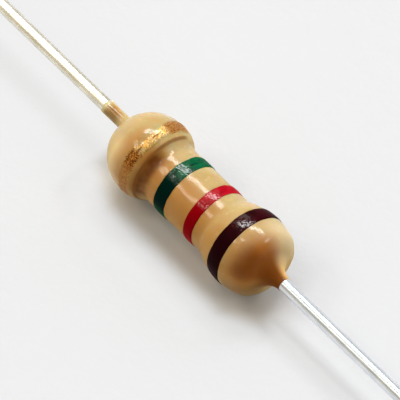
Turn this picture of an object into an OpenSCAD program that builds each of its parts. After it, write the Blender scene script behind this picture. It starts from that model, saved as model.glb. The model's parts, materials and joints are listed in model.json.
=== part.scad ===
// Axial film resistor: a ceramic rod with a trimmed resistive film, two pressed
// end caps with welded wire leads, a dog-bone lacquer coating and four bands.
// The axis runs along X. The brown band is towards +X and the gold band is
// towards -X. The origin is the middle of the rod. All sizes are millimetres.

/* [Ceramic rod] */
// Length of the ceramic rod
rod_len = 5.3; // [4.2:0.1:8]
// Diameter of the ceramic rod
rod_d = 1.7; // [1.4:0.05:2.4]
// Bevel on the rod's two end edges
rod_bevel = 0.06; // [0.02:0.01:0.12]

/* [Carbon film] */
// Thickness of the film on the rod
film_t = 0.03; // [0.02:0.005:0.05]
// Width of the helical groove that trims the film to its value
groove_w = 0.15; // [0.08:0.01:0.25]
// Distance along the rod from one turn of the groove to the next
groove_pitch = 0.75; // [0.5:0.05:1.2]
// Whole film left between the groove and each cap
groove_margin = 0.35; // [0.2:0.05:0.6]

/* [End caps] */
// Length of a cap over all
cap_len = 1.12; // [0.9:0.02:1.5]
// Thickness of a cap's side wall
cap_wall = 0.14; // [0.1:0.01:0.2]
// Thickness of a cap's end wall
cap_end_t = 0.16; // [0.1:0.01:0.25]
// Outer radius of a cap's pressed corner
cap_corner_r = 0.2; // [0.1:0.01:0.3]

/* [Lead wires] */
// Diameter of the wire
lead_d = 0.4; // [0.3:0.02:0.6]
// Length of each lead from its cap to its free end
lead_len = 28; // [20:0.5:38]
// Bevel on the cut end of the wire
lead_bevel = 0.04; // [0.01:0.01:0.08]
// Height of the weld cone around the foot of a lead
weld_len = 0.54; // [0.3:0.02:0.6]
// How far the weld spreads past the wire's side
weld_spread = 0.12; // [0.06:0.01:0.2]
// How far off the axis the gold end's lead was welded
gold_lead_offset = 0.17; // [0:0.01:0.25]

/* [Lacquer coating] */
// Lacquer over the film, along the waist
waist_coat = 0.085; // [0.05:0.005:0.15]
// Lacquer over the cap, on the crown of the brown end's bulge
brown_coat = 0.187; // [0.14:0.005:0.26]
// Lacquer over the cap, on the crown of the gold end's bulge
gold_coat = 0.23; // [0.16:0.005:0.3]
// Lacquer over the mouth of the gold end's cap
gold_mouth_coat = 0.1; // [0.08:0.005:0.14]
// Distance from the cap's end face back to the crown of the brown end's bulge
brown_crown_back = 0.82; // [0.7:0.02:1]
// Radius of the curve over the crown of the brown end's bulge
brown_crown_curve = 2.2; // [1.8:0.05:3]
// Radius of the brown end's rounded nose
brown_nose_r = 0.55; // [0.45:0.01:0.62]
// Radius of the hollow where the lacquer draws down onto the brown end's lead
brown_draw_r = 0.6; // [0.45:0.01:0.7]
// How far the lacquer runs past the cap on the brown end's lead
brown_run = 0.74; // [0.66:0.01:0.9]
// Radius of the fillet between the waist and the brown end's bulge
brown_shoulder_r = 0.35; // [0.2:0.01:0.6]
// Radius of the fillet between the waist and the gold end's bulge
gold_shoulder_r = 0.3; // [0.15:0.01:0.5]
// How much tighter the gold end's nose is than its bulge
gold_nose_step = 0.05; // [0.02:0.01:0.1]
// Length of the thin lacquer sleeve on the gold end's lead, past the nose
sleeve_len = 0.88; // [0.4:0.02:1.4]
// Thickness of the lacquer at the root of that sleeve, which thins to its tip
sleeve_coat = 0.025; // [0.02:0.005:0.05]
// Radius of the hollow between the gold end's nose and the sleeve
sleeve_root_r = 0.14; // [0.08:0.01:0.2]
// Thickness of the lacquer at its thin edge on a lead
edge_coat = 0.015; // [0.01:0.001:0.019]

/* [Colour bands] */
// Thickness of the paint
band_t = 0.03; // [0.02:0.005:0.05]
// Distance from the cap's end face back to the middle of the brown band
brown_band_back = 1.045; // [0.9:0.01:1.2]
// Width of the brown band
brown_band_w = 0.46; // [0.3:0.01:0.6]
// Place of the red band's middle along the axis
red_band_x = 0.42; // [0.2:0.01:0.6]
// Width of the red band
red_band_w = 0.34; // [0.25:0.01:0.5]
// Place of the green band's middle along the axis
green_band_x = -0.795; // [-1:0.01:-0.5]
// Width of the green band
green_band_w = 0.37; // [0.25:0.01:0.5]
// Distance from the cap's end face back to the middle of the gold band
gold_band_back = 0.74; // [0.6:0.01:0.9]
// Width of the gold band
gold_band_w = 0.34; // [0.25:0.01:0.5]

/* [Hidden] */

$fn = 96;
arc_step = 6;       // degrees between the points of a profile's arc
turn_steps = 24;    // steps in one turn of the trimming groove
cut_over = 0.04;    // how far a cutter passes the surface that it opens

film_r = rod_d / 2 + film_t;
cap_r = film_r + cap_wall;
cap_face_x = rod_len / 2 + cap_end_t;
cap_mouth_x = cap_face_x - cap_len;
lead_r = lead_d / 2;
waist_r = film_r + waist_coat;

// Brown end of the lacquer, with x counted outwards from the middle.
brown_crown_r = cap_r + brown_coat;
brown_crown_c = [cap_face_x - brown_crown_back, brown_crown_r - brown_crown_curve];
brown_shoulder_c = shoulder_centre(brown_crown_c, brown_crown_curve, brown_shoulder_r);
brown_draw_c = [cap_face_x + brown_run, lead_r + edge_coat + brown_draw_r];
brown_nose_c = meet_of_circles(brown_crown_c, brown_crown_curve - brown_nose_r,
                               brown_draw_c, brown_nose_r + brown_draw_r);

// Gold end of the lacquer. Its crown is over the middle of the cap, and its
// curve is the one that leaves gold_mouth_coat over the cap's mouth.
gold_crown_r = cap_r + gold_coat;
gold_crown_sag = gold_coat - gold_mouth_coat;
gold_crown_curve = (gold_crown_sag ^ 2 + (cap_len / 2) ^ 2) / (2 * gold_crown_sag);
gold_crown_c = [cap_face_x - cap_len / 2, gold_crown_r - gold_crown_curve];
gold_shoulder_c = shoulder_centre(gold_crown_c, gold_crown_curve, gold_shoulder_r);
gold_nose_r = gold_crown_r - gold_nose_step;
gold_nose_turn = asin((gold_crown_curve - gold_crown_r) / (gold_crown_curve - gold_nose_r));
gold_nose_c = gold_crown_c
    + (gold_crown_curve - gold_nose_r) * [cos(gold_nose_turn), sin(gold_nose_turn)];
gold_nose_x = gold_nose_c[0] + gold_nose_r;

// Outline of each end of the lacquer, from the waist outwards, as [x, radius].
brown_outline = concat(
    arc(brown_shoulder_c, brown_shoulder_r,
        -90, heading(brown_shoulder_c, brown_crown_c)),
    arc(brown_crown_c, brown_crown_curve,
        heading(brown_crown_c, brown_shoulder_c), heading(brown_crown_c, brown_nose_c)),
    arc(brown_nose_c, brown_nose_r,
        heading(brown_crown_c, brown_nose_c), heading(brown_nose_c, brown_draw_c)),
    arc(brown_draw_c, brown_draw_r,
        heading(brown_draw_c, brown_nose_c), -90)
);
gold_outline = concat(
    arc(gold_shoulder_c, gold_shoulder_r,
        -90, heading(gold_shoulder_c, gold_crown_c)),
    arc(gold_crown_c, gold_crown_curve,
        heading(gold_crown_c, gold_shoulder_c), gold_nose_turn),
    arc(gold_nose_c, gold_nose_r, gold_nose_turn, 0)
);
// The whole outline, from the gold end's nose to the lacquer's edge at the brown end.
coat_outline = merged(concat(
    [for (i = [len(gold_outline) - 1 : -1 : 0]) [-gold_outline[i][0], gold_outline[i][1]]],
    brown_outline
));

// Direction from one point to another, in degrees from -180 to 180.
function heading(from, to) = atan2(to[1] - from[1], to[0] - from[0]);

// Points along an arc. The sweep takes the short way round.
function arc(centre, r, from, to) =
    let (sweep = to - from > 180 ? to - from - 360 : to - from < -180 ? to - from + 360 : to - from,
         steps = max(1, ceil(abs(sweep) / arc_step)))
    [for (i = [0 : steps])
        let (a = from + sweep * i / steps)
        centre + r * [cos(a), sin(a)]];

// Outline without points that repeat the one before them.
function merged(points) =
    [for (i = [0 : len(points) - 1])
        if (i == 0 || norm(points[i] - points[i - 1]) > 0.0001) points[i]];

// Centre of the fillet that runs from the waist into a crown.
function shoulder_centre(crown_c, crown_curve, fillet_r) =
    let (y = waist_r + fillet_r)
    [crown_c[0] - sqrt((crown_curve + fillet_r) ^ 2 - (y - crown_c[1]) ^ 2), y];

// Where two circles cross, on the left of the way from the first to the second.
function meet_of_circles(c1, r1, c2, r2) =
    let (apart = norm(c2 - c1),
         way = (c2 - c1) / apart,
         along = (r1 ^ 2 - r2 ^ 2 + apart ^ 2) / (2 * apart),
         aside = sqrt(r1 ^ 2 - along ^ 2))
    c1 + along * way + aside * [-way[1], way[0]];

// Turns a closed outline of [x, radius] points about the X axis.
module turned(outline) {
    rotate([0, 90, 0])
        rotate_extrude()
            polygon([for (p = outline) [p[1], p[0]]]);
}

// Draws its children at the brown end, or at the gold end on that lead's line.
module at_brown_end() {
    children();
}
module at_gold_end(offset_y = 0) {
    translate([0, offset_y, 0])
        mirror([1, 0, 0])
            children();
}

module cap_body() {
    corner_c = [cap_face_x - cap_corner_r, cap_r - cap_corner_r];
    turned(concat(
        [[cap_mouth_x, 0], [cap_mouth_x, cap_r]],
        arc(corner_c, cap_corner_r, 90, 0),
        [[cap_face_x, 0]]
    ));
}

module cap() {
    difference() {
        cap_body();
        turned([
            [cap_mouth_x - cut_over, 0], [cap_mouth_x - cut_over, film_r],
            [rod_len / 2, film_r], [rod_len / 2, 0]
        ]);
    }
}

module lead() {
    free_end_x = cap_face_x + lead_len;
    weld_x = cap_face_x + weld_len;
    turned([
        [cap_face_x, 0],
        [cap_face_x, lead_r + weld_spread],
        [cap_face_x + weld_len / 3, lead_r + weld_spread / 3],
        [weld_x, lead_r],
        [free_end_x - lead_bevel, lead_r],
        [free_end_x, lead_r - lead_bevel],
        [free_end_x, 0]
    ]);
}

module groove_cutter() {
    reach = cap_mouth_x - groove_margin;
    turns = (2 * reach - groove_w) / groove_pitch;
    steps = ceil(turns * turn_steps);
    r_in = rod_d / 2 - cut_over;
    r_out = film_r + cut_over;
    // Four corners at each step: inner and outer, on the groove's two sides.
    corners = [
        for (i = [0 : steps])
            let (a = 360 * turns * i / steps,
                 x = -reach + groove_pitch * turns * i / steps)
            for (c = [[x, r_in], [x, r_out], [x + groove_w, r_out], [x + groove_w, r_in]])
                [c[0], c[1] * cos(a), c[1] * sin(a)]
    ];
    // Each side of a step is a twisted quad, split into two triangles.
    sides = [
        for (i = [0 : steps - 1], k = [0 : 3])
            let (a = 4 * i + k, b = 4 * i + (k + 1) % 4)
            for (t = [[a, b, b + 4], [a, b + 4, a + 4]]) t
    ];
    last = 4 * steps;
    ends = [[3, 2, 1], [3, 1, 0], [last, last + 1, last + 2], [last, last + 2, last + 3]];
    polyhedron(points = corners, faces = concat(sides, ends));
}

module lacquer_skin() {
    turned(concat(
        coat_outline,
        [[coat_outline[len(coat_outline) - 1][0], 0]]
    ));
}

// Lacquer drawn out along the gold end's lead, with a hollow root on the nose.
module lacquer_sleeve() {
    sleeve_r = lead_r + sleeve_coat;
    tip_x = gold_nose_x + sleeve_len;
    // The root starts inside the nose, where the nose is as wide as the root.
    root_r = sleeve_r + sleeve_root_r;
    root_x = gold_nose_c[0] + sqrt(gold_nose_r ^ 2 - (root_r + gold_lead_offset) ^ 2);
    turned(concat(
        [[cap_face_x, 0], [cap_face_x, root_r]],
        arc([root_x + sleeve_root_r, root_r], sleeve_root_r, 180, 270),
        [[tip_x, lead_r + edge_coat], [tip_x, 0]]
    ));
}

module band(middle_x, width) {
    low_x = middle_x - width / 2;
    high_x = middle_x + width / 2;
    foot = concat(
        [[low_x, lookup(low_x, coat_outline)]],
        [for (p = coat_outline) if (p[0] > low_x && p[0] < high_x) p],
        [[high_x, lookup(high_x, coat_outline)]]
    );
    top = [
        for (i = [len(foot) - 1 : -1 : 0])
            let (x = min(max(foot[i][0], low_x + band_t), high_x - band_t))
            [x, lookup(x, coat_outline) + band_t]
    ];
    turned(merged(concat(foot, top)));
}

module ceramic_rod() {
    end_x = rod_len / 2;
    r = rod_d / 2;
    color("ivory")
        turned([
            [-end_x, 0], [-end_x, r - rod_bevel], [rod_bevel - end_x, r],
            [end_x - rod_bevel, r], [end_x, r - rod_bevel], [end_x, 0]
        ]);
}

module carbon_film() {
    end_x = rod_len / 2 - rod_bevel;
    color([0.2, 0.2, 0.21])
        difference() {
            turned([
                [-end_x, rod_d / 2], [-end_x, film_r],
                [end_x, film_r], [end_x, rod_d / 2]
            ]);
            groove_cutter();
        }
}

module brown_end_cap() {
    color("silver")
        at_brown_end()
            cap();
}

module gold_end_cap() {
    color("silver")
        at_gold_end()
            cap();
}

module brown_end_lead() {
    color([0.78, 0.78, 0.8])
        at_brown_end()
            lead();
}

module gold_end_lead() {
    color([0.78, 0.78, 0.8])
        at_gold_end(gold_lead_offset)
            lead();
}

module lacquer_coating() {
    color([0.85, 0.74, 0.53])
        difference() {
            union() {
                lacquer_skin();
                at_gold_end(gold_lead_offset) lacquer_sleeve();
            }
            // What the lacquer covers leaves its exact form inside it.
            turned([
                [-cap_mouth_x - cut_over, 0], [-cap_mouth_x - cut_over, film_r],
                [cap_mouth_x + cut_over, film_r], [cap_mouth_x + cut_over, 0]
            ]);
            at_brown_end() cap_body();
            at_gold_end() cap_body();
            at_brown_end() lead();
            at_gold_end(gold_lead_offset) lead();
        }
}

module gold_band() {
    color("goldenrod")
        band(gold_band_back - cap_face_x, gold_band_w);
}

module green_band() {
    color([0.05, 0.3, 0.18])
        band(green_band_x, green_band_w);
}

module red_band() {
    color([0.75, 0.08, 0.14])
        band(red_band_x, red_band_w);
}

module brown_band() {
    color([0.2, 0.07, 0.09])
        band(cap_face_x - brown_band_back, brown_band_w);
}

ceramic_rod();
carbon_film();
brown_end_cap();
gold_end_cap();
brown_end_lead();
gold_end_lead();
lacquer_coating();
gold_band();
green_band();
red_band();
brown_band();
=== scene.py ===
"""Looks of an axial carbon-film resistor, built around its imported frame.

Shapes are worked out in millimetres and scaled to metres when a piece is finished. X runs along the
part, from the gold end to the brown end, and the origin is the middle of the ceramic rod.
"""
import json
import logging
import math
from dataclasses import dataclass
from enum import Enum
from typing import Callable, Iterable, Union

import bmesh
import bpy
from mathutils import Matrix, Vector, noise


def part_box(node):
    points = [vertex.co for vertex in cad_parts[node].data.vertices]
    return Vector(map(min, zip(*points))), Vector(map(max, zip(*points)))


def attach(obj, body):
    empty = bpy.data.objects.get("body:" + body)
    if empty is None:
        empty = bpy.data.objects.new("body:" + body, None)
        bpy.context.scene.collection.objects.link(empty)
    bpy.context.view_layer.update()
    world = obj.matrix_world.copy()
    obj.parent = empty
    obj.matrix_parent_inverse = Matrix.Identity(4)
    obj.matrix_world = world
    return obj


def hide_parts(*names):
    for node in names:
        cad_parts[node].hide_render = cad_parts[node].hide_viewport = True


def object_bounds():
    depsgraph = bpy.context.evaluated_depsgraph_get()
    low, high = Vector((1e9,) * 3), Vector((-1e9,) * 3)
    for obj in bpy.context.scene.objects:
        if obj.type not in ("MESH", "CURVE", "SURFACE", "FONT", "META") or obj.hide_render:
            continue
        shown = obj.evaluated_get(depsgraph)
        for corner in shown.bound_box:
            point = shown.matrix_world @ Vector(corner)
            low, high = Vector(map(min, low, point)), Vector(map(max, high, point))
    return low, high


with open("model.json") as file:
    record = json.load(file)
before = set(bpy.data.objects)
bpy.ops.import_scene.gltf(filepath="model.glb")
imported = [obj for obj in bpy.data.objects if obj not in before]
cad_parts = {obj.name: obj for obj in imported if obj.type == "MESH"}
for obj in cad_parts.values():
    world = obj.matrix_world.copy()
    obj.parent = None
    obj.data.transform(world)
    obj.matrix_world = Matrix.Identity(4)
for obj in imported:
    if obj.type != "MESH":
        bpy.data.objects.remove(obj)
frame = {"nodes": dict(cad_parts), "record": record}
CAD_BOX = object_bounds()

LOG = logging.getLogger("resistor")
MM = 0.001
BODY = "root"
Colour = tuple[float, float, float]
Point = tuple[float, float]
Span = tuple[float, float]
Socket = bpy.types.NodeSocket
Term = Union["Value", float]


# ---------------------------------------------------------------- shader maths


class Value:
    """A socket that takes part in Python arithmetic by adding Math nodes."""

    def __init__(self, tree: "Tree", socket: Socket) -> None:
        """Wraps a socket of a tree."""
        self.tree = tree
        self.socket = socket

    def _with(self, operation: str, *others: Term) -> "Value":
        """Adds one Math node, with this value as its first input."""
        return self.tree.math(operation, self, *others)

    def __add__(self, other: Term) -> "Value":
        """Sum."""
        return self._with("ADD", other)

    def __sub__(self, other: Term) -> "Value":
        """Difference."""
        return self._with("SUBTRACT", other)

    def __rsub__(self, other: float) -> "Value":
        """Difference from a number."""
        return self.tree.math("SUBTRACT", other, self)

    def __mul__(self, other: Term) -> "Value":
        """Product."""
        return self._with("MULTIPLY", other)

    __radd__ = __add__
    __rmul__ = __mul__

    def __truediv__(self, other: Term) -> "Value":
        """Quotient."""
        return self._with("DIVIDE", other)

    def size(self) -> "Value":
        """Value without its sign."""
        return self._with("ABSOLUTE")

    def least(self, other: Term) -> "Value":
        """The smaller of two values."""
        return self._with("MINIMUM", other)

    def most(self, other: Term) -> "Value":
        """The larger of two values."""
        return self._with("MAXIMUM", other)

    def step(self, low: float, high: float) -> "Value":
        """Rises smoothly from 0 at low to 1 at high, or falls if low is above high.

        Args:
            low: Where the result is 0.
            high: Where the result is 1.

        Returns:
            The smooth step.
        """
        rising = low < high
        ends = (low, high, 0.0, 1.0) if rising else (high, low, 1.0, 0.0)
        inputs = dict(zip(("From Min", "From Max", "To Min", "To Max"), ends), Value=self)
        node = self.tree.node("ShaderNodeMapRange", {"interpolation_type": "SMOOTHSTEP"}, inputs)
        return Value(self.tree, node.outputs["Result"])


Setting = Union[Value, Socket, float, Colour, Vector]


class Tree:
    """The node tree of one material or world."""

    def __init__(self, tree: bpy.types.NodeTree) -> None:
        """Empties a node tree and takes it over."""
        self.tree = tree
        self.tree.nodes.clear()

    def node(self, kind: str, settings: dict | None = None, inputs: dict | None = None) -> bpy.types.Node:
        """Adds a node.

        Args:
            kind: The node's type.
            settings: Its own settings, which are made first.
            inputs: The values or links of its sockets, by name.

        Returns:
            The node.
        """
        made = self.tree.nodes.new(kind)
        for name, value in (settings or {}).items():
            setattr(made, name, value)
        for name, value in (inputs or {}).items():
            socket = next(s for s in made.inputs if s.name == name and s.enabled)
            self.feed(socket, value)
        return made

    def feed(self, socket: Socket, value: Setting) -> None:
        """Links a value to a socket, or sets the socket to it."""
        if isinstance(value, Value):
            self.tree.links.new(value.socket, socket)
        elif isinstance(value, Socket):
            self.tree.links.new(value, socket)
        elif socket.type == "RGBA":
            socket.default_value = (*value, 1.0)
        else:
            socket.default_value = value

    def math(self, operation: str, *values: Term) -> Value:
        """Adds a Math node.

        Args:
            operation: The node's operation.
            values: Its inputs, in order.

        Returns:
            The node's result.
        """
        made = self.node("ShaderNodeMath", {"operation": operation})
        for socket, value in zip(made.inputs, values):
            self.feed(socket, value)
        return Value(self, made.outputs["Value"])

    def vector(self, operation: str, *values: Setting) -> Socket:
        """Adds a Vector Math node whose result is a vector.

        Args:
            operation: The node's operation.
            values: Its vectors, in order, or for SCALE a vector and the factor.

        Returns:
            The resulting vector's socket.
        """
        made = self.node("ShaderNodeVectorMath", {"operation": operation})
        open_sockets = [s for s in made.inputs if s.enabled]
        for socket, value in zip(open_sockets, values):
            self.feed(socket, value)
        return made.outputs["Vector"]

    def dot(self, first: Setting, second: Setting) -> Value:
        """The dot product of two vectors."""
        made = self.node("ShaderNodeVectorMath", {"operation": "DOT_PRODUCT"})
        self.feed(made.inputs[0], first)
        self.feed(made.inputs[1], second)
        return Value(self, made.outputs["Value"])

    def facing(self, y: Value, z: Value, turn: float) -> Value:
        """How far round the part a point lies from a side of it.

        Args:
            y: The point's Y.
            z: Its Z.
            turn: The side, in degrees from +Y towards +Z.

        Returns:
            The cosine of the angle between them.
        """
        t = math.radians(turn)
        radius = self.math("SQRT", y * y + z * z)
        return (y * math.cos(t) + z * math.sin(t)) / radius

    def place(self) -> Socket:
        """The point of the object that is shaded, in millimetres."""
        coordinates = self.node("ShaderNodeTexCoord")
        return self.vector("SCALE", coordinates.outputs["Object"], 1 / MM)

    def parts(self, vector: Socket) -> tuple[Value, Value, Value]:
        """The three components of a vector."""
        made = self.node("ShaderNodeSeparateXYZ", inputs={"Vector": vector})
        return tuple(Value(self, made.outputs[name]) for name in "XYZ")

    def joined(self, x: Setting, y: Setting, z: Setting) -> Socket:
        """A vector of three components."""
        made = self.node("ShaderNodeCombineXYZ", inputs={"X": x, "Y": y, "Z": z})
        return made.outputs["Vector"]

    def noise(self, place: Setting, scale: float, detail: float = 2.0, rough: float = 0.5) -> Value:
        """Cloudy noise from 0 to 1.

        Args:
            place: Where the noise is read.
            scale: Waves in a millimetre.
            detail: Octaves of finer noise.
            rough: How strong the finer octaves are.

        Returns:
            The noise.
        """
        inputs = {"Vector": place, "Scale": scale, "Detail": detail, "Roughness": rough}
        made = self.node("ShaderNodeTexNoise", inputs=inputs)
        return Value(self, made.outputs["Fac"])

    def cells(self, place: Setting, scale: float) -> bpy.types.Node:
        """Voronoi cells, of which each has its own colour."""
        return self.node("ShaderNodeTexVoronoi", inputs={"Vector": place, "Scale": scale})

    def blend(self, amount: Setting, low: Setting, high: Setting) -> Socket:
        """Mixes two colours.

        Args:
            amount: How much of the second colour there is, from 0 to 1.
            low: The first colour.
            high: The second colour.

        Returns:
            The mixed colour's socket.
        """
        settings = {"data_type": "RGBA"}
        made = self.node("ShaderNodeMix", settings, {"Factor": amount, "A": low, "B": high})
        return next(s for s in made.outputs if s.enabled)

    def bump(self, height: Value, depth_mm: float, normal: Setting | None = None) -> Socket:
        """Tilts the surface by a height field.

        Args:
            height: The height, from 0 to 1.
            depth_mm: How deep a height of 1 is.
            normal: A tilt that this one is added to.

        Returns:
            The normal's socket.
        """
        inputs = {"Height": height, "Distance": depth_mm * MM}
        if normal is not None:
            inputs["Normal"] = normal
        return self.node("ShaderNodeBump", inputs=inputs).outputs["Normal"]

    def shader(self, **inputs: Setting) -> Socket:
        """A Principled shader, with sockets named by words joined with underscores."""
        named = {name.replace("_", " "): value for name, value in inputs.items()}
        made = self.node("ShaderNodeBsdfPrincipled", {"subsurface_method": "RANDOM_WALK"}, named)
        return made.outputs["BSDF"]

    def mixed(self, amount: Setting, low: Setting, high: Setting) -> Socket:
        """Mixes two shaders, with amount of the second."""
        made = self.node("ShaderNodeMixShader", inputs={"Fac": amount})
        self.tree.links.new(low, made.inputs[1])
        self.tree.links.new(high, made.inputs[2])
        return made.outputs["Shader"]

    def surface(self, shader: Socket, kind: str = "ShaderNodeOutputMaterial") -> None:
        """Ends the tree in an output node."""
        self.node(kind, inputs={"Surface": shader})


# ---------------------------------------------------------------- finishes


def material(name: str, draw: Callable[[Tree], None]) -> bpy.types.Material:
    """Makes a material.

    Args:
        name: The material's name.
        draw: Adds the nodes to the empty tree.

    Returns:
        The material.
    """
    made = bpy.data.materials.new(name)
    made.use_nodes = True
    draw(Tree(made.node_tree))
    return made


@dataclass(frozen=True)
class Finish:
    """A material that draws its own nodes."""

    name: str

    def draw(self, tree: Tree) -> None:
        """Adds the finish's nodes to an empty tree."""
        raise NotImplementedError

    def build(self) -> bpy.types.Material:
        """The material."""
        return material(self.name, self.draw)


@dataclass(frozen=True)
class Patch:
    """A soft-edged patch of the part's skin.

    A pair says where the patch is absent and where it is full: in millimetres of X, or of the way
    from the middle where one is given, and for the side as the cosine from its turn, which is in
    degrees from +Y towards +Z. The fade's pair says where fading starts and where it has taken the
    faded share away.
    """

    share: float = 1.0
    along: Span | None = None
    middle: float | None = None
    fade: Span | None = None
    faded: float = 1.0
    turn: float = 0.0
    side: Span | None = None

    def mask(self, tree: Tree, x: Value, y: Value, z: Value) -> Value:
        """How strong the patch is at a point.

        Args:
            tree: The tree that the nodes go into.
            x: The point's X in millimetres.
            y: Its Y, from the axis of the body or of a wire.
            z: Its Z.

        Returns:
            The strength, from 0 to the patch's share.
        """
        amount = self.share
        if self.along:
            way = x if self.middle is None else (x - self.middle).size()
            amount = way.step(*self.along) * amount
        if self.fade:
            amount = (1 - x.step(*self.fade) * self.faded) * amount
        if self.side:
            amount = tree.facing(y, z, self.turn).step(*self.side) * amount
        return amount


@dataclass(frozen=True)
class LacquerFinish(Finish):
    """Glossy tan lacquer, mottled, with painted light and shade: paler on lit sides, browner on shaded
    sides, in the crease and along the wires.
    """

    name: str = "lacquer"
    tan: Colour = (0.545, 0.395, 0.17)
    ochre: Colour = (0.49, 0.31, 0.095)
    cream: Colour = (0.63, 0.50, 0.265)
    pale: Colour = (0.80, 0.70, 0.46)
    blush: Colour = (0.84, 0.64, 0.32)
    amber: Colour = (0.50, 0.21, 0.034)
    honey: Colour = (0.33, 0.085, 0.004)
    olive: Colour = (0.25, 0.14, 0.03)
    straw: Colour = (0.78, 0.46, 0.15)
    chestnut: Colour = (0.215, 0.063, 0.006)
    umber: Colour = (0.15, 0.040, 0.003)
    cloud_edge: Span = (0.38, 0.66)
    cloud_share: float = 0.8
    fleck_edge: Span = (0.52, 0.74)
    fleck_share: float = 0.55
    gold_nose: Patch = Patch(0.25, (-2.1, -3.0))
    # Painted light: a paler blush on the gold bulge's -Y side.
    cheek: Patch = Patch(0.85, (-1.7, -2.0), fade=(-2.7, -3.05), faded=0.75, turn=172.0, side=(0.5, 0.9))
    # Painted shade: amber on the shaded -Y side, weaker towards the brown end.
    painted_amber_shade: Patch = Patch(1.0, (-2.8, -2.3), fade=(0.5, 1.1), faded=0.45, turn=148.0, side=(0.35, 0.97))
    # Painted shade: amber on the brown end's front.
    front: Patch = Patch(0.75, (2.3, 3.0), turn=121.0, side=(0.1, 0.6))
    # Painted light: pale on the brown end's lit upper +Y side.
    painted_lighting: Patch = Patch(0.4, (1.9, 2.5), turn=40.0, side=(0.55, 0.95))
    # Painted shade: honey on the brown end's front.
    nose: Patch = Patch(1.0, (1.9, 3.0), turn=121.0, side=(0.4, 0.95))
    # Painted shade: an umber spot on the brown end's front.
    deep: Patch = Patch(0.55, (0.45, 0.05), middle=2.68, turn=134.0, side=(0.8, 0.98))
    # Painted shade: umber along the brown end's underside.
    under: Patch = Patch(0.5, (2.0, 2.4), turn=215.0, side=(0.7, 0.98))
    # The shaded side for the neck's and crease's painted shade, in degrees from +Y towards +Z.
    painted_shade_turn: float = 148.0
    # The neck, where lacquer is drawn onto the brown wire: orange, with painted light (straw) on its lit
    # +Y side and painted shade (chestnut) on its shaded -Y side.
    neck: Span = (2.5, 3.3)
    neck_slope: float = 0.35
    neck_side: Span = (-0.3, 0.6)
    # Painted shade: umber in the crease by the gold end, darkest on the shaded -Y side.
    crease: Patch = Patch(0.85, (0.34, 0.05), middle=-1.56)
    crease_side: Span = (0.5, 0.85)
    crease_cloud: Span = (0.36, 0.6)
    # Painted shadow: a thin umber line along the gold end's lip.
    painted_lip_shadow: Patch = Patch(0.7, (0.075, 0.02), middle=-1.70, turn=148.0, side=(-0.42, -0.15))
    sleeve_y: float = 0.17
    rust: Patch = Patch(0.8, (-3.7, -3.9), turn=100.0, side=(0.6, 0.95))
    rust_fleck: Span = (0.42, 0.55)
    # Painted shade: mottled olive on the gold wire's sleeve, on its shaded -Y side, fading off at the
    # tip.
    painted_sleeve_shade: Patch = Patch(1.0, (-3.62, -3.85), fade=(-4.15, -4.4), turn=134.0, side=(0.3, 0.98))
    tip: Patch = Patch(0.7, (-4.16, -4.32))
    tip_ragged: float = 0.12
    pucker: Patch = Patch(2.4, (0.5, 0.2), middle=-1.28)
    ripple: Patch = Patch(1.0, (0.4, 0.15), middle=-1.28)
    swell_depth: float = 0.012
    peel_depth: float = 0.0010
    wetness: float = 0.22
    gloss: tuple[Patch, ...] = (
        Patch(0.6, turn=82.0, side=(0.58, 0.80)),
        Patch(0.4, (0.3, 0.1), middle=-2.45),
        Patch(0.3, (0.4, 0.15), middle=-1.28, turn=82.0, side=(0.5, 0.8)),
    )
    matt_nose: Patch = Patch(0.88, (2.66, 2.96))
    matt_lip: Patch = Patch(0.8, (0.18, 0.06), middle=-1.70)

    def colour(self, tree: Tree, place: Socket) -> Socket:
        """The lacquer's colour.

        Args:
            tree: The tree that the nodes go into.
            place: The shaded point in millimetres.

        Returns:
            The colour's socket.
        """
        x, y, z = tree.parts(place)
        at = (tree, x, y, z)
        clouds = tree.noise(place, 1.1, 3.0, 0.55)
        flecks = tree.noise(place, 4.5, 3.0, 0.6)
        # How far a point faces the shaded side, for painted shade.
        side = tree.facing(y, z, self.painted_shade_turn)
        neck = (x - tree.math("SQRT", y * y + z * z) * self.neck_slope).step(*self.neck)
        # Painted light and shade on the neck: straw on the lit side, chestnut on the shaded side.
        neck_light_and_shade = tree.blend(side.step(*self.neck_side), self.straw, self.chestnut)
        # Painted shade in the crease: umber, darkest and mottled on the shaded side, with the painted
        # shadow line at the gold end's lip.
        brown = side.step(*self.crease_side) * (0.55 + clouds.step(*self.crease_cloud) * 0.45)
        painted_crease_shade = (self.crease.mask(*at) * (0.12 + brown)).most(self.painted_lip_shadow.mask(*at))
        by_wire = (tree, x, y - self.sleeve_y, z)
        shade = tree.blend(clouds.step(*self.cloud_edge) * self.cloud_share, self.tan, self.ochre)
        for amount, tint in (
            (flecks.step(*self.fleck_edge) * self.fleck_share, self.cream),
            (self.gold_nose.mask(*at), self.cream),
            # Painted light: paler on the gold bulge's -Y side.
            (self.cheek.mask(*at), self.blush),
            # Painted shade: mottled amber on the shaded -Y side.
            (self.painted_amber_shade.mask(*at) * (0.55 + clouds * 0.5), self.amber),
            # Painted shade: amber on the brown end's front.
            (self.front.mask(*at), self.amber),
            # Painted light: pale on the brown end's lit upper +Y side.
            (self.painted_lighting.mask(*at), self.pale),
            # Painted shade: mottled honey on the brown end's front.
            (self.nose.mask(*at) * (0.58 + clouds * 0.5), self.honey),
            # Painted shade: an umber spot on the brown end's front.
            (self.deep.mask(*at), self.umber),
            # Painted shade: umber on the brown end's underside.
            (self.under.mask(*at), self.umber),
            # The neck, with painted light and shade on its two sides.
            (neck, neck_light_and_shade),
            # Painted shade: umber in the crease and a shadow line at the lip.
            (painted_crease_shade, self.umber),
            (self.rust.mask(*by_wire) * flecks.step(*self.rust_fleck), self.amber),
            # Painted shade: mottled olive on the sleeve's shaded side.
            (self.painted_sleeve_shade.mask(*by_wire) * (0.2 + flecks), self.olive),
            (self.tip.mask(tree, x + flecks * self.tip_ragged, y, z), self.pale),
        ):
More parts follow.
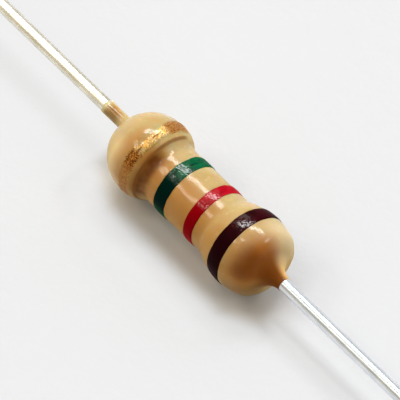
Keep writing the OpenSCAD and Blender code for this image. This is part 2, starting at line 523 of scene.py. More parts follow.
            shade = tree.blend(amount, shade, tint)
        return shade

    def shader(self, tree: Tree, place: Socket) -> Socket:
        """The lacquer's shader.

        Args:
            tree: The tree that the nodes go into.
            place: The shaded point in millimetres.

        Returns:
            The shader's socket.
        """
        x, y, z = tree.parts(place)
        at = (tree, x, y, z)
        swell = tree.noise(place, 2.2, 2.0, 0.45) * (1 + self.pucker.mask(*at))
        ripple = tree.noise(place, 5.0, 1.0, 0.5) * self.ripple.mask(*at)
        peel = tree.noise(place, 7.0, 1.0, 0.4)
        normal = tree.bump(ripple, self.swell_depth, tree.bump(swell, self.swell_depth))
        wet = self.wetness
        for patch in self.gloss:
            wet = patch.mask(*at) + wet
        wet = wet * (1 - self.matt_nose.mask(*at).most(self.matt_lip.mask(*at)))
        layer = {
            "Base_Color": self.colour(tree, place),
            "IOR": 1.5,
            "Subsurface_Weight": 0.8,
            "Subsurface_Radius": Vector((1.0, 0.38, 0.12)),
            "Subsurface_Scale": 0.2 * MM,
            "Normal": tree.bump(peel, self.peel_depth, normal),
        }
        dull = tree.shader(Roughness=0.45 + swell * 0.1, Specular_IOR_Level=0.05, **layer)
        gloss = tree.shader(Roughness=0.11 + peel * 0.06, Specular_IOR_Level=0.40, **layer)
        return tree.mixed(wet, dull, gloss)

    def draw(self, tree: Tree) -> None:
        """Adds the lacquer's nodes."""
        tree.surface(self.shader(tree, tree.place()))


@dataclass(frozen=True)
class PaintFinish(Finish):
    """Glossy stripe paint with brush drag round the part and specks of light along its crown, with
    painted shade in its deep colour on the shaded side.
    """

    # The colour between the streaks, and the painted shade on the shaded side.
    deep: Colour
    bright: Colour
    drag_along: float = 9.0
    drag_round: float = 1.4
    streak_edge: Span = (0.3, 0.6)
    cloud_depth: float = 0.010
    grain_depth: float = 0.010
    gloss_turn: float = 97.0
    gloss_edge: float = 0.88
    sheen: float = 0.32
    # Painted light and shade: the bright streaks show only away from the shaded -Y side.
    painted_lighting: Patch = Patch(turn=148.0, side=(0.95, 0.6))

    def draw(self, tree: Tree) -> None:
        """Adds the paint's nodes to an empty tree."""
        place = tree.place()
        x, y, z = tree.parts(place)
        around = tree.math("ARCTAN2", y, z) * self.drag_round
        drag = tree.noise(tree.joined(x * self.drag_along, around, 0.0), 1.0, 3.0, 0.6)
        clouds = tree.noise(place, 3.2, 3.0, 0.6)
        grain = tree.noise(place, 13.0, 1.0, 0.5)
        streaks = (drag * 0.6 + clouds * 0.4).step(*self.streak_edge)
        # Painted shade: the shaded side keeps the deep colour; elsewhere bright streaks show.
        shade = tree.blend(streaks * self.painted_lighting.mask(tree, x, y, z), self.deep, self.bright)
        normal = tree.bump(grain, self.grain_depth, tree.bump(clouds, self.cloud_depth))
        layer = {"Base_Color": shade, "IOR": 1.5, "Normal": normal}
        dull = tree.shader(Roughness=0.4, Specular_IOR_Level=0.01, **layer)
        gloss = tree.shader(Roughness=0.04 + drag * 0.05, Specular_IOR_Level=0.42, **layer)
        crown = tree.facing(y, z, self.gloss_turn).step(self.gloss_edge, 1.0)
        specks = (crown * 1.3 + grain * 3.2 - 2.5).step(0.0, 0.25)
        tree.surface(tree.mixed(specks.most(crown.step(0.0, 0.5) * self.sheen), dull, gloss))


@dataclass(frozen=True)
class GoldFinish(Finish):
    """Gold flake ink: loose bright flakes that thin out at the stripe's edges, over the lacquer, with
    painted glints in bright flakes on top and painted shade in brown flakes on the -Y side.
    """

    lacquer: LacquerFinish
    middle_x: float
    half: float
    dark: Colour = (0.24, 0.09, 0.012)
    gold: Colour = (0.74, 0.42, 0.09)
    bright: Colour = (0.95, 0.80, 0.48)
    brown: Colour = (0.15, 0.035, 0.002)
    rust: Colour = (0.62, 0.26, 0.045)
    copper: Colour = (0.46, 0.19, 0.045)
    flakes_per_mm: float = 42.0
    # Painted glint: the bright flakes and the metal gather on top.
    glint: Patch = Patch(turn=98.0, side=(0.84, 0.96))
    varnish: Patch = Patch(0.7, turn=98.0, side=(0.86, 0.96))
    wear: Patch = Patch(turn=98.0, side=(0.90, 0.98))
    # Painted shade: brown and rust flakes on the shaded -Y side.
    painted_flake_shade: Patch = Patch(turn=138.0, side=(0.945, 0.985))
    # Darker copper and brown towards the upper +Y side.
    upper_copper_side: Patch = Patch(turn=50.0, side=(0.90, 0.96))
    thin: Patch = Patch(turn=180.0, side=(0.78, 0.92))

    def draw(self, tree: Tree) -> None:
        """Adds the ink's nodes to an empty tree."""
        place = tree.place()
        x, y, z = tree.parts(place)
        at = (tree, x, y, z)
        flakes = tree.cells(place, self.flakes_per_mm)
        random, tilt_y, tilt_z = tree.parts(flakes.outputs["Color"])
        patches = tree.noise(place, 3.4, 3.0, 0.65)
        glint = self.glint.mask(*at)
        upper_copper = self.upper_copper_side.mask(*at)
        thin = self.thin.mask(*at)
        edge = (upper_copper + thin).least(1.0)
        clump = tree.blend(random.step(0.45, 0.85), self.brown, self.rust)
        shade = tree.blend(random.step(0.05, 0.4), self.dark, self.gold)
        # Painted glint: bright flakes mostly on top.
        shade = tree.blend(random.step(0.6, 0.95) * (0.08 + glint * 0.92), shade, self.bright)
        # Painted shade: brown and rust flakes on the shaded side.
        shade = tree.blend(self.painted_flake_shade.mask(*at), shade, clump)
        shade = tree.blend(edge * (1 - random.step(0.5, 1.0) * 0.6), shade, self.copper)
        shade = tree.blend(edge * random.step(0.35, 0.05) * 0.8 + upper_copper * 0.25, shade, self.brown)
        lean = tree.vector("SUBTRACT", flakes.outputs["Color"], (0.5, 0.5, 0.5))
        geometry = tree.node("ShaderNodeNewGeometry")
        leaning = tree.vector("ADD", geometry.outputs["Normal"], tree.vector("SCALE", lean, 0.5))
        ink = tree.shader(
            Base_Color=shade,
            Metallic=0.1 + glint * 0.65,
            Roughness=0.28 + tilt_y * 0.2,
            Specular_IOR_Level=0.05,
            Coat_Weight=self.varnish.mask(*at),
            Coat_Roughness=0.12,
            Normal=tree.vector("NORMALIZE", leaning),
        )
        across = (x - self.middle_x) / self.half
        worn = self.wear.mask(*at) * (1 - upper_copper) * (0.25 - across * 0.75).most(0.0)
        cover = across.size() * (1.08 - upper_copper * 0.2) + (tilt_z - 0.3) * 0.4
        cover = cover + (patches - 0.5) * 0.8 + thin * 0.1 + worn
        tree.surface(tree.mixed(cover.step(1.0, 0.86), self.lacquer.shader(tree, place), ink))


@dataclass(frozen=True)
class WireFinish(Finish):
    """Tinned wire with fine drawing lines along it and soft blotches in the tin; where set, a top painted
    grey to dim its reflection and a painted dark reflection line.
    """

    light: Colour = (0.83, 0.86, 0.90)
    dull: Colour = (0.73, 0.77, 0.82)
    # The grey that the top is painted towards, to dim its reflection.
    grey: Colour = (0.34, 0.39, 0.42)
    # The colour of the painted dark reflection line.
    dark_line_colour: Colour = (0.28, 0.31, 0.33)
    # How much the top is painted grey to dim its reflection.
    painted_lighting: float = 0.0
    painted_lighting_side: Patch = Patch(turn=100.0, side=(0.82, 0.94))
    # How strong the painted dark reflection line is.
    painted_dark_line: float = 0.0
    painted_dark_line_side: Patch = Patch(turn=131.0, side=(0.98, 0.998))
    line_along: float = 0.5
    line_across: float = 22.0
    line_depth: float = 0.0006
    blotch_depth: float = 0.002

    def draw(self, tree: Tree) -> None:
        """Adds the wire's nodes to an empty tree."""
        place = tree.place()
        x, y, z = tree.parts(place)
        at = (tree, x, y, z)
        drawn = tree.joined(x * self.line_along, y * self.line_across, z * self.line_across)
        lines = tree.noise(drawn, 1.0, 3.0, 0.6)
        blotches = tree.noise(place, 2.4, 3.0, 0.55)
        shade = tree.blend((lines * 0.5 + blotches * 0.5).step(0.4, 0.62), self.light, self.dull)
        # Painted dimmer reflection: the top is greyed, broken by the drawing lines.
        shade = tree.blend(self.painted_lighting_side.mask(*at) * (lines * 0.8 + 0.5) * self.painted_lighting, shade, self.grey)
        # Painted reflection: a thin dark line along the wire's -Y upper side.
        shade = tree.blend(self.painted_dark_line_side.mask(*at) * (0.4 + blotches) * self.painted_dark_line, shade, self.dark_line_colour)
        tree.surface(
            tree.shader(
                Base_Color=shade,
                Metallic=1.0,
                Roughness=0.27 + blotches * 0.12,
                Normal=tree.bump(lines, self.line_depth, tree.bump(blotches, self.blotch_depth)),
            )
        )


@dataclass(frozen=True)
class CoreFinish(Finish):
    """A matt or metallic finish of a piece under the lacquer, grained at its own scale."""

    low: Colour
    high: Colour
    metallic: float
    roughness: float
    grain: float
    depth: float

    def draw(self, tree: Tree) -> None:
        """Adds the finish's nodes to an empty tree."""
        grain = tree.noise(tree.place(), self.grain, 4.0, 0.6)
        tree.surface(
            tree.shader(
                Base_Color=tree.blend(grain.step(0.35, 0.65), self.low, self.high),
                Metallic=self.metallic,
                Roughness=self.roughness + grain * 0.15,
                Normal=tree.bump(grain, self.depth),
            )
        )


# ---------------------------------------------------------------- shapes


def box_mm(node: str) -> tuple[Vector, Vector]:
    """The lowest and highest corner of a CAD node, in millimetres."""
    low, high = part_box(node)
    return low / MM, high / MM


def heading(start: Point, end: Point) -> float:
    """The direction from one point to another, in degrees."""
    return math.degrees(math.atan2(end[1] - start[1], end[0] - start[0]))


def smooth(amount: float) -> float:
    """A smooth step of a number, from 0 to 1."""
    held = min(1.0, max(0.0, amount))
    return held * held * (3 - 2 * held)


def arc(centre: Point, radius: float, start: float, end: float, step: float = 3.0) -> list[Point]:
    """Points along an arc, the short way round.

    Args:
        centre: The arc's centre.
        radius: The arc's radius.
        start: The direction of its first point, in degrees.
        end: The direction of its last point, in degrees.
        step: The most degrees between two points.

    Returns:
        The points, both ends included.
    """
    sweep = (end - start + 180) % 360 - 180
    count = max(1, math.ceil(abs(sweep) / step))
    turns = [math.radians(start + sweep * i / count) for i in range(count + 1)]
    return [(centre[0] + radius * math.cos(t), centre[1] + radius * math.sin(t)) for t in turns]


def thinned(points: Iterable[Point], gap: float = 1e-4) -> list[Point]:
    """Drops the points that repeat the one before them."""
    kept: list[Point] = []
    for point in points:
        if not kept or math.dist(point, kept[-1]) > gap:
            kept.append(point)
    return kept


def filled(points: list[Point], gap: float) -> list[Point]:
    """The points with straight stretches divided.

    Args:
        points: A chain of points.
        gap: The longest stretch that stays whole.

    Returns:
        The points with the added ones between them.
    """
    chain = [points[0]]
    for start, end in zip(points, points[1:]):
        count = max(1, math.ceil(math.dist(start, end) / gap))
        for i in range(1, count + 1):
            share = i / count
            chain.append((start[0] + (end[0] - start[0]) * share, start[1] + (end[1] - start[1]) * share))
    return chain


class Form:
    """A mesh under construction, in millimetres."""

    def __init__(self) -> None:
        """Starts with an empty mesh."""
        self.mesh = bmesh.new()

    def turn(self, outline: list[Point], steps: int, closed: bool) -> None:
        """Turns an outline of (x, radius) points about the X axis.

        Args:
            outline: The points.
            steps: How many sides a full turn has.
            closed: Whether the last point joins the first.
        """
        verts = [self.mesh.verts.new((x, 0.0, r)) for x, r in outline]
        pairs = list(zip(verts, verts[1:])) + ([(verts[-1], verts[0])] if closed else [])
        edges = [self.mesh.edges.new(pair) for pair in pairs]
        bmesh.ops.spin(
            self.mesh,
            geom=verts + edges,
            cent=(0, 0, 0),
            axis=(1, 0, 0),
            angle=math.tau,
            steps=steps,
            use_merge=True,
        )
        bmesh.ops.remove_doubles(self.mesh, verts=self.mesh.verts, dist=1e-5)
        bmesh.ops.recalc_face_normals(self.mesh, faces=self.mesh.faces)

    def reshape(self, rule: Callable[[Vector], Vector]) -> None:
        """Moves every vertex to where a rule puts it."""
        for vert in self.mesh.verts:
            vert.co = rule(vert.co)

    def swell(self, pushes: list[tuple[bmesh.types.BMVert, float]]) -> None:
        """Moves vertices along their normals, each by its own push."""
        bmesh.ops.recalc_face_normals(self.mesh, faces=self.mesh.faces)
        self.mesh.normal_update()
        for vert, push in pushes:
            vert.co += vert.normal * push

    def finish(self, name: str, finish: bpy.types.Material, slot: str, nodes: Iterable[str]) -> None:
        """Makes the mesh a piece of the part.

        Args:
            name: The piece's name.
            finish: Its material.
            slot: The record's material slot; not used.
            nodes: The CAD nodes that the piece stands for.
        """
        bmesh.ops.recalc_face_normals(self.mesh, faces=self.mesh.faces)
        bmesh.ops.scale(self.mesh, vec=(MM, MM, MM), verts=self.mesh.verts)
        for face in self.mesh.faces:
            face.smooth = True
        data = bpy.data.meshes.new(name)
        self.mesh.to_mesh(data)
        self.mesh.free()
        data.materials.append(finish)
        piece = bpy.data.objects.new(name, data)
        bpy.context.scene.collection.objects.link(piece)
        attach(piece, BODY)
        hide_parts(*nodes)
        LOG.info("%s: %d faces", name, len(data.polygons))


@dataclass
class Coat:
    """The lacquer: a thin waist between two rounded ends, drawn out along both wires.

    It is one closed solid: nothing inside it can be seen, and light that scatters in a thin shell
    comes out dark.
    """

    wire_r: float
    film_r: float
    cap_r: float
    cap_face: float
    cap_mouth: float
    gold_r: float
    gold_tip: float
    brown_tip: float
    gold_wire_y: float
    waist_coat: float = 0.085
    brown_coat: float = 0.187
    brown_curve: float = 2.2
    brown_back: float = 0.82
    brown_nose_r: float = 0.55
    brown_draw_r: float = 0.6
    brown_shoulder_r: float = 0.35
    gold_lip_past: float = 0.01
    gold_lip_slope: float = 52.0
    gold_lip_over: float = 2.0
    gold_mouth_coat: float = 0.1
    gold_nose_step: float = 0.05
    root_r: float = 0.2
    root_fade: float = 0.34
    sleeve_coat: float = 0.014
    edge_coat: float = 0.012
    wave: float = 0.012
    pucker: float = 0.004
    wave_pace: float = 1.15
    wave_seed: tuple[float, float, float] = (3.1, 7.7, 1.9)
    pucker_pace: float = 3.1
    pucker_seed: tuple[float, float, float] = (8.3, 2.2, 5.5)
    lean_from: float = 0.8
    calm_depth: float = 0.4
    gap: float = 0.05
    steps: int = 168

    def __post_init__(self) -> None:
        """Draws the outer outline from the gold end's tip to the brown end's."""
        self.waist_r = self.film_r + self.waist_coat
        gold = self._gold_end()
        brown = self._brown_end()
        self.outer = thinned([(-x, r) for x, r in reversed(gold)] + brown)

    def _shoulder(self, crown: Point, curve: float, fillet: float) -> Point:
        """The centre of the fillet from the waist into a crown."""
        y = self.waist_r + fillet
        return (crown[0] - math.sqrt((curve + fillet) ** 2 - (y - crown[1]) ** 2), y)

    def _brown_end(self) -> list[Point]:
        """The brown end's outline from the waist outwards."""
        crown = (self.cap_face - self.brown_back, self.cap_r + self.brown_coat - self.brown_curve)
        shoulder = self._shoulder(crown, self.brown_curve, self.brown_shoulder_r)
        draw = (self.brown_tip, self.wire_r + self.edge_coat + self.brown_draw_r)
        nose = self._meeting(
            crown, self.brown_curve - self.brown_nose_r, draw, self.brown_nose_r + self.brown_draw_r
        )
        points = arc(shoulder, self.brown_shoulder_r, -90, heading(shoulder, crown))
        points += arc(crown, self.brown_curve, heading(crown, shoulder), heading(crown, nose), 1.5)
        points += arc(nose, self.brown_nose_r, heading(crown, nose), heading(nose, draw))
        points += arc(draw, self.brown_draw_r, heading(draw, nose), -90, 2.0)
        return points

    def _gold_end(self) -> list[Point]:
        """The gold end's outline from the waist outwards, with x counted outwards."""
        sag = self.gold_r - self.cap_r - self.gold_mouth_coat
        half = (self.cap_face - self.cap_mouth) / 2
        curve = (sag**2 + half**2) / (2 * sag)
        crown = (self.cap_face - half, self.gold_r - curve)
        lip_back = half + self.gold_lip_past
        self.nose_r = self.gold_r - self.gold_nose_step
        turn = math.asin((curve - self.gold_r) / (curve - self.nose_r))
        self.nose_x = crown[0] + (curve - self.nose_r) * math.cos(turn)
        root_y = self.wire_r + self.sleeve_coat + self.root_r
        root = (self.nose_x + math.sqrt((self.nose_r + self.root_r) ** 2 - root_y**2), root_y)
        foot_turn = heading((self.nose_x, 0.0), root)
        self.foot_x = self.nose_x + self.nose_r * math.cos(math.radians(foot_turn))
        self.foot_r = self.nose_r * math.sin(math.radians(foot_turn))
        lip = (crown[0] - lip_back, crown[1] + math.sqrt(curve**2 - lip_back**2))
        slope = math.radians(self.gold_lip_slope)
        hollow_r = (lip[1] - self.waist_r) / (1 - math.cos(slope))
        hollow = (lip[0] - hollow_r * math.sin(slope), self.waist_r + hollow_r)
        points = arc(hollow, hollow_r, -90, self.gold_lip_slope - 90)[:-1]
        points += arc(crown, curve, heading(crown, lip) - self.gold_lip_over, math.degrees(turn))
        points += arc((self.nose_x, 0.0), self.nose_r, math.degrees(turn), foot_turn, 2.0)
        points += arc(root, self.root_r, 180 + foot_turn, 270, 9.0)
        points.append((-self.gold_tip, self.wire_r + self.edge_coat))
        return points

    @staticmethod
    def _meeting(first: Point, r1: float, second: Point, r2: float) -> Point:
        """Where two circles cross, on the left of the way from the first to the second.

        Args:
            first: The first circle's centre.
            r1: Its radius.
            second: The second circle's centre.
            r2: Its radius.

        Returns:
            The crossing.
        """
        apart = math.dist(first, second)
        way = ((second[0] - first[0]) / apart, (second[1] - first[1]) / apart)
        along = (r1**2 - r2**2 + apart**2) / (2 * apart)
        aside = math.sqrt(r1**2 - along**2)
        return (
            first[0] + along * way[0] - aside * way[1],
            first[1] + along * way[1] + aside * way[0],
        )

    def radius(self, x: float) -> float:
        """The outline's radius at a place along the part, or the bare wire's past its ends."""
        for (x0, r0), (x1, r1) in zip(self.outer, self.outer[1:]):
            if x0 <= x <= x1 and x1 > x0:
                return r0 + (r1 - r0) * (x - x0) / (x1 - x0)
        return self.wire_r

    def swell(self, place: Vector) -> float:
        """How far the lacquer stands proud of its plain outline at a place."""
        slow = noise.noise(place * self.wave_pace + Vector(self.wave_seed))
        quick = noise.noise(place * self.pucker_pace + Vector(self.pucker_seed))
        return self.wave * slow + self.pucker * quick

    def _settle(self, place: Vector) -> Vector:
        """Where a vertex of the turned coat goes, with the gold end's root moved onto the wire's line.

        Args:
            place: The vertex as turned.

        Returns:
            Its place before the skin swells.
        """
        if place.x > -self.nose_x:
            return place.copy()
        radius = math.hypot(place.y, place.z)
        lean = smooth((self.lean_from - radius) / (self.lean_from - self.foot_r))
        moved = place + Vector((0, self.gold_wire_y * lean, 0))
        rise = math.sqrt(max(0.0, self.nose_r**2 - radius**2))
        rise_there = math.sqrt(max(0.0, self.nose_r**2 - moved.y**2 - moved.z**2))
        moved.x += (rise - rise_there) * smooth(1 - (-place.x - self.foot_x) / self.root_fade)
        return moved

    def _calm(self, place: Vector) -> float:
        """How much of the swelling a place has: none where the lacquer thins out on a wire."""
        return smooth((math.hypot(place.y, place.z) - self.wire_r) / self.calm_depth)

    def build(self, finish: LacquerFinish) -> None:
        """Builds the coat in a finish."""
        form = Form()
        outline = reversed(filled(self.outer, self.gap))
        form.turn([(self.brown_tip, 0.0), *outline, (self.gold_tip, 0.0)], self.steps, closed=False)
        skin = [(v, self._calm(v.co)) for v in form.mesh.verts]
        form.reshape(self._settle)
        form.swell([(v, calm * self.swell(v.co)) for v, calm in skin])
        form.finish("lacquer_coat", finish.build(), "lacquer", ["lacquer_coating"])


@dataclass
class Stripe:
    """A painted ring on the coat, with a low rounded edge that wanders a little."""

    node: str
    slot: str
    coat: Coat
    wander: float = 0.012
    shift: float = 0.0
    spread: float = 0.0
    height: float = 0.022
    sunk: float = 0.02
    edge_round: float = 0.45
    waves: tuple[Point, ...] = ((1.6, 1.0), (5.5, 0.7), (17.0, 0.4))
    edge_seed: float = 0.9
    across: int = 22
    steps: int = 168
    seed: float = 0.0

    def __post_init__(self) -> None:
        """Reads the ring's place from the frame."""
        low, high = box_mm(self.node)
        self.middle = (low.x + high.x) / 2 + self.shift
        self.half = (high.x - low.x) / 2 + self.spread

    def _section(self) -> list[Point]:
        """The ring's cross-section, with x from -1 to 1 across it and its height above 1."""
        count = self.across
        over = [
            (-math.cos(t), 1 + self.height * math.sin(t) ** self.edge_round)
            for t in (math.pi * i / count for i in range(count + 1))
        ]
        return over + [(1.0, 1 - self.sunk), (-1.0, 1 - self.sunk)]

    def _wrap(self, place: Vector) -> Vector:
        """Puts a vertex of the plain ring on the coat.

        Args:
            place: The vertex, with x from -1 to 1 across the ring and its radius about 1.

        Returns:
            Its place on the coat.
        """
        rise = math.hypot(place.y, place.z) - 1
        turn = math.atan2(place.y, place.z)
        seed = self.seed + self.edge_seed * (place.x > 0)
        round_it = Vector((math.cos(turn), math.sin(turn), seed))
        drift = self.wander * sum(share * noise.noise(round_it * pace) for pace, share in self.waves)
        x = self.middle + self.half * place.x + drift
        radius = self.coat.radius(x)
        foot = Vector((x, radius * math.sin(turn), radius * math.cos(turn)))
        radius += self.coat.swell(foot) + rise
        return Vector((x, radius * math.sin(turn), radius * math.cos(turn)))

    def build(self, finish: bpy.types.Material) -> None:
        """Builds the ring in a finish."""
        form = Form()
        form.turn(self._section(), self.steps, closed=True)
        form.reshape(self._wrap)
        form.finish(self.node + "_paint", finish, self.slot, [self.node])


class End(Enum):
    """An end of the part, and the way that it points along X."""

    BROWN = 1
    GOLD = -1


@dataclass
class Lead:
    """One tinned wire, from its weld on the cap to its cut end."""

    node: str
    end: End
    wire_r: float
    weld_len: float
    bevel: float = 0.04
    dent: float = 0.0015
    dent_along: float = 1.3
    dent_across: float = 5.0
    steps: int = 48
    gap: float = 0.35

    def __post_init__(self) -> None:
        """Reads the wire's place from the frame."""
        low, high = box_mm(self.node)
        self.foot = min(abs(low.x), abs(high.x))
        self.tip = max(abs(low.x), abs(high.x))
        self.y = (low.y + high.y) / 2
        self.flare_r = (high.z - low.z) / 2

    def _settle(self, place: Vector) -> Vector:
        """Puts a vertex on the wire's own line, with the faint dents of drawn wire.

        Args:
            place: The vertex as turned.

        Returns:
            Its place on the wire.
        """
        radius = math.hypot(place.y, place.z)
        moved = place.copy()
        if radius > self.wire_r / 2:
            spot = (place.x * self.dent_along, place.y * self.dent_across, place.z * self.dent_across)
            dent = self.dent * noise.noise(Vector(spot))
            moved.y *= 1 + dent / radius
            moved.z *= 1 + dent / radius
        moved.x *= self.end.value
        moved.y += self.y
        return moved

    def build(self, finish: bpy.types.Material) -> None:
        """Builds the wire in a finish."""
        weld = [
            (self.foot, 0.0),
            (self.foot, self.flare_r),
            (self.foot + self.weld_len / 3, self.wire_r + (self.flare_r - self.wire_r) / 3),
            (self.foot + self.weld_len, self.wire_r),
        ]
        shank = filled([weld[-1], (self.tip - self.bevel, self.wire_r)], self.gap)[1:]
        end = arc((self.tip - self.bevel, self.wire_r - self.bevel), self.bevel, 90, 0, 30)[1:]
        form = Form()
        form.turn(weld + shank + end + [(self.tip, 0.0)], self.steps, closed=False)
        form.reshape(self._settle)
        form.finish(self.node + "_wire", finish, "tinned_wire", [self.node])


class Core:
    """The pieces under the lacquer, which keep their CAD shapes and get their own finishes."""

    CERAMIC = CoreFinish(
        "ceramic", (0.72, 0.70, 0.64), (0.86, 0.84, 0.79), 0.0, 0.55, grain=14.0, depth=0.004
    )
    CARBON = CoreFinish(
        "carbon", (0.012, 0.012, 0.014), (0.05, 0.05, 0.055), 0.0, 0.4, grain=22.0, depth=0.002
    )
    STEEL = CoreFinish(
        "cap_steel", (0.42, 0.42, 0.43), (0.62, 0.62, 0.63), 1.0, 0.28, grain=9.0, depth=0.002
    )
    NODES: dict[CoreFinish, tuple[str, ...]] = {
        CERAMIC: ("ceramic_rod",),
        CARBON: ("carbon_film",),
        STEEL: ("brown_end_cap", "gold_end_cap"),
    }

    def dress(self) -> None:
        """Gives each hidden CAD node its material."""
        for finish, nodes in self.NODES.items():
            made = finish.build()
            for node in nodes:
                data = frame["nodes"][node].data
                data.materials.clear()
                data.materials.append(made)
                LOG.info("%s: dressed as %s", node, finish.name)


# ---------------------------------------------------------------- studio


def towards(azimuth: float, elevation: float) -> Vector:
    """The direction of a place in the sky, with azimuth 0 at -Y and 90 at +X, in degrees."""
    a, e = math.radians(azimuth), math.radians(elevation)
    return Vector((math.sin(a) * math.cos(e), -math.cos(a) * math.cos(e), math.sin(e)))


@dataclass(frozen=True)
class Panel:
    """A flat light that faces the part, given by where it stands and how large it looks."""

    name: str
    azimuth: float
    elevation: float
    wide: float
    tall: float
    glow: float
    glints: bool = True
    colour: Colour = (1.0, 1.0, 1.0)
    distance: float = 1.5

    def build(self) -> None:
        """Makes the lamp."""
        data = bpy.data.lights.new(self.name, "AREA")
        data.shape = "RECTANGLE"
        data.size = 2 * self.distance * math.tan(math.radians(self.wide / 2))
        data.size_y = 2 * self.distance * math.tan(math.radians(self.tall / 2))
        data.energy = 4 * self.glow * data.size * data.size_y
        data.color = self.colour
        lamp = bpy.data.objects.new(self.name, data)
        way = towards(self.azimuth, self.elevation)
        turn = way.to_track_quat("Z", "Y").to_matrix().to_4x4()
        lamp.matrix_world = Matrix.Translation(way * self.distance) @ turn
        lamp.visible_glossy = self.glints
        bpy.context.scene.collection.objects.link(lamp)


@dataclass
class Studio:
    """Floor, sky and lamps.

    The floor is a little warmer beside the body, a painted warm bounce from the lacquer in the body's
    shadow. It glows a little where the body's shadow ends and beside the wires, which keeps those shadows
    short and faint. Each pair of numbers with x or y in its name says where a mask is 0 and where it is
    1, in millimetres.
    """

    floor_z: float
    panels: tuple[Panel, ...]
    floor_r: float = 0.6
    floor_colour: Colour = (0.666, 0.685, 0.716)
    warm_colour: Colour = (0.655, 0.627, 0.585)
    floor_bounce: float = 0.5
    floor_glow: float = 0.87
    floor_lift: float = 0.05
    body_half: float = 2.4
    end_slope: float = 0.5
    warm_y: Span = (-1.75, -1.2)
    warm_back_y: Span = (0.5, -0.6)
    warm_x: Span = (4.2, 3.0)
    edge_y: Span = (-1.0, -1.8)
    edge_end_y: Span = (-3.0, -2.2)
    edge_x: Span = (4.8, 3.6)
    edge_lift: float = 0.6
    near_x: Span = (2.9, 3.7)
    near_lift: float = 0.2
    fringe_x: Span = (3.2, 4.2)
    fringe_y: Span = (-0.35, -0.6)
    fringe_lift: float = 0.4
    far_x: Span = (-3.5, -4.15)
    far_lift: float = 0.72
    beside_y: Span = (4.0, 1.4)
    sky: float = 0.02
    window: float = 0.7
    window_way: Span = (-60.0, 10.0)
    window_edge: Span = (-0.1, 0.6)
    window_colour: Colour = (1.0, 0.90, 0.74)
    sweep: float = 1.25
    sweep_azimuth: float = 145.0
    sweep_edge: Span = (0.2, 0.7)
    sweep_height: Span = (0.5, 0.1)

    def floor(self) -> None:
        """Makes the pale floor that the part lies on."""
        mesh = bmesh.new()
        bmesh.ops.create_circle(mesh, cap_ends=True, segments=96, radius=self.floor_r)
        bmesh.ops.translate(mesh, vec=(0, 0, self.floor_z), verts=mesh.verts)
        data = bpy.data.meshes.new("floor")
        mesh.to_mesh(data)
        mesh.free()
        data.materials.append(material("paper", self._paper))
        floor = bpy.data.objects.new("floor", data)
        bpy.context.scene.collection.objects.link(floor)

    def _paper(self, tree: Tree) -> None:
        """Adds the nodes of matt white paper, with its tint and glow round the part.

        Args:
            tree: The empty tree.
        """
        place = tree.place()
        normal = tree.bump(tree.noise(place, 1.6, 3.0, 0.6), 0.02)
        x, y = tree.parts(place)[:2]
        along = x.size()
        out = y - (along - self.body_half).most(0.0) * self.end_slope
        # Painted warm bounce light: the floor beside the body, in its shadow, is tinted warm.
        warm = out.step(*self.warm_y) * y.step(*self.warm_back_y) * along.step(*self.warm_x)
        tint = tree.blend(warm, self.floor_colour, self.warm_colour)
        edge = out.step(*self.edge_y) * out.step(*self.edge_end_y) * along.step(*self.edge_x)
        near = x.step(*self.near_x) * self.near_lift
        fringe = x.step(*self.fringe_x) * y.step(*self.fringe_y) * self.fringe_lift
        far = x.step(*self.far_x) * self.far_lift
        wires = (near + fringe + far) * y.size().step(*self.beside_y)
        lift = self.floor_lift + wires.most(edge * self.edge_lift)
        white = tree.node("ShaderNodeBsdfDiffuse", inputs={"Color": tint, "Normal": normal})
        bounce = (self.floor_bounce,) * 3
        grey = tree.node("ShaderNodeBsdfDiffuse", inputs={"Color": bounce, "Normal": normal})
        glow = tree.node("ShaderNodeEmission", inputs={"Color": (self.floor_glow,) * 3})
        seen = tree.mixed(lift, white.outputs["BSDF"], glow.outputs["Emission"])
        tree.surface(tree.mixed(self._in_view(tree), grey.outputs["BSDF"], seen))

    @staticmethod
    def _in_view(tree: Tree) -> Value:
        """1 for rays from the camera and those that a glossy or clear surface passes on, else 0."""
        rays = tree.node("ShaderNodeLightPath")
        names = ("Is Camera Ray", "Is Glossy Ray", "Is Transmission Ray")
        kinds = [Value(tree, rays.outputs[name]) for name in names]
        return kinds[0].most(kinds[1]).most(kinds[2])

    def world(self) -> None:
        """Makes a dim room with a wide window to the left and a bright low sweep behind."""
        world = bpy.data.worlds.new("sky")
        world.use_nodes = True
        bpy.context.scene.world = world
        tree = Tree(world.node_tree)
        way = tree.node("ShaderNodeTexCoord").outputs["Generated"]
        height = tree.parts(way)[2]
        window = tree.dot(way, towards(*self.window_way)).step(*self.window_edge)
        behind = tree.dot(way, towards(self.sweep_azimuth, 0.0)).step(*self.sweep_edge)
        level = window * self.window + behind * height.step(*self.sweep_height) * self.sweep + self.sky
        camera = tree.node("ShaderNodeLightPath").outputs["Is Camera Ray"]
        seen = Value(tree, camera)
        level = level * (1 - seen) + seen * self.floor_glow
        colour = tree.blend(window * (1 - seen), (1.0, 1.0, 1.0), self.window_colour)
        background = tree.node("ShaderNodeBackground", inputs={"Color": colour, "Strength": level})
        tree.surface(background.outputs["Background"], "ShaderNodeOutputWorld")

    def lamps(self) -> None:
        """Makes the lamps."""
        for panel in self.panels:
            panel.build()


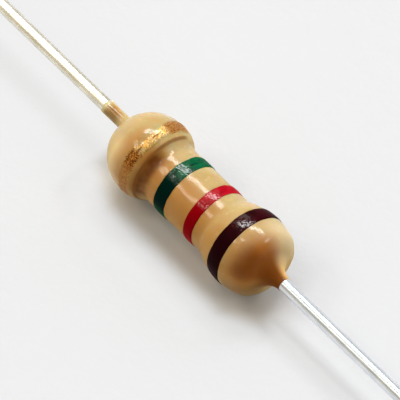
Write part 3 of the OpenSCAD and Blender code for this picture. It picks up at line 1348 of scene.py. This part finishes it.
@dataclass(frozen=True)
class Viewpoint:
    """A camera with parallel rays, given by its direction and by what it takes in."""

    azimuth: float = 50.0
    elevation: float = 54.0
    width: float = 11.226
    right: float = -0.084
    up: float = 0.177
    distance: float = 100.0

    def build(self) -> None:
        """Makes the camera and the scene's own."""
        back = towards(self.azimuth, self.elevation)
        turn = back.to_track_quat("Z", "Y")
        aside = turn @ Vector((self.right, self.up, 0))
        data = bpy.data.cameras.new("camera")
        data.type = "ORTHO"
        data.ortho_scale = self.width * MM
        data.clip_start = 1 * MM
        data.clip_end = 10.0
        camera = bpy.data.objects.new("camera", data)
        camera.rotation_mode = "QUATERNION"
        camera.rotation_quaternion = turn
        camera.location = (aside + back * self.distance) * MM
        bpy.context.scene.collection.objects.link(camera)
        bpy.context.scene.camera = camera


# ---------------------------------------------------------------- assembly


def main() -> None:
    """Builds every piece in order, then the studio."""
    logging.basicConfig(level=logging.INFO, format="%(message)s")
    bpy.context.scene.view_settings.view_transform = "Standard"
    wire_r = frame["record"]["mounts"][0]["dims"]["r_mm"]
    mount_len = frame["record"]["mounts"][0]["dims"]["length_mm"]
    coat_low, coat_high = box_mm("lacquer_coating")
    cap_low, cap_high = box_mm("brown_end_cap")
    film_high = box_mm("carbon_film")[1]
    lead_low, lead_high = box_mm("gold_end_lead")
    coat = Coat(
        wire_r=wire_r,
        film_r=film_high.z,
        cap_r=cap_high.z,
        cap_face=cap_high.x,
        cap_mouth=cap_low.x,
        gold_r=coat_high.z,
        gold_tip=coat_low.x,
        brown_tip=coat_high.x,
        gold_wire_y=(lead_low.y + lead_high.y) / 2,
    )
    lacquer = LacquerFinish()
    coat.build(lacquer)
    # Each paint's deep colour also serves as painted shade on its shaded side.
    green = PaintFinish("green_paint", deep=(0.0, 0.012, 0.008), bright=(0.004, 0.12, 0.045))
    red = PaintFinish("red_paint", deep=(0.25, 0.0, 0.003), bright=(0.47, 0.004, 0.016), sheen=0.2)
    brown = PaintFinish(
        "brown_paint",
        deep=(0.014, 0.001, 0.002),
        bright=(0.036, 0.0015, 0.003),
        gloss_turn=92.0,
        gloss_edge=0.94,
        sheen=0.1,
    )
    Stripe("green_band", "green_paint", coat, shift=0.01, spread=0.04, seed=1.3).build(green.build())
    Stripe("red_band", "red_paint", coat, shift=0.03, spread=0.015, seed=4.1).build(red.build())
    Stripe("brown_band", "brown_paint", coat, shift=0.05, spread=0.015, seed=7.9).build(brown.build())
    gilt = Stripe(
        "gold_band", "gold_paint", coat, shift=0.01, spread=0.045, wander=0.03, height=0.008, seed=2.6
    )
    gilt.build(GoldFinish("gold_ink", lacquer, gilt.middle, gilt.half).build())
    bare = lead_high.x - lead_low.x
    weld_len = bare - mount_len - Lead.bevel
    # The near wire has the painted dark reflection line and a top painted grey to dim its reflection.
    cool = WireFinish("tin", painted_dark_line=0.55, painted_lighting=0.9)
    Lead("brown_end_lead", End.BROWN, wire_r, weld_len).build(cool.build())
    warm = WireFinish("warm_tin", light=(0.86, 0.82, 0.70), dull=(0.68, 0.64, 0.51))
    Lead("gold_end_lead", End.GOLD, wire_r, weld_len).build(warm.build())
    Core().dress()
    studio = Studio(
        floor_z=CAD_BOX[0].z,
        panels=(
            Panel("soft", -160.0, 52.0, wide=75.0, tall=60.0, glow=0.5),
            Panel("key", -137.0, 57.5, wide=38.0, tall=11.0, glow=11.0),
            Panel("left", -47.0, 50.0, wide=20.0, tall=9.0, glow=6.0, colour=(1.0, 0.93, 0.80)),
            Panel("small", -46.0, 70.0, wide=7.0, tall=7.0, glow=10.0),
            Panel("back", 147.0, 50.0, wide=16.0, tall=9.0, glow=4.4),
            Panel("rim", 114.0, 41.0, wide=22.0, tall=14.0, glow=4.6, glints=False),
        ),
    )
    studio.floor()
    studio.world()
    studio.lamps()
    Viewpoint().build()


if __name__ == "__main__":
    main()
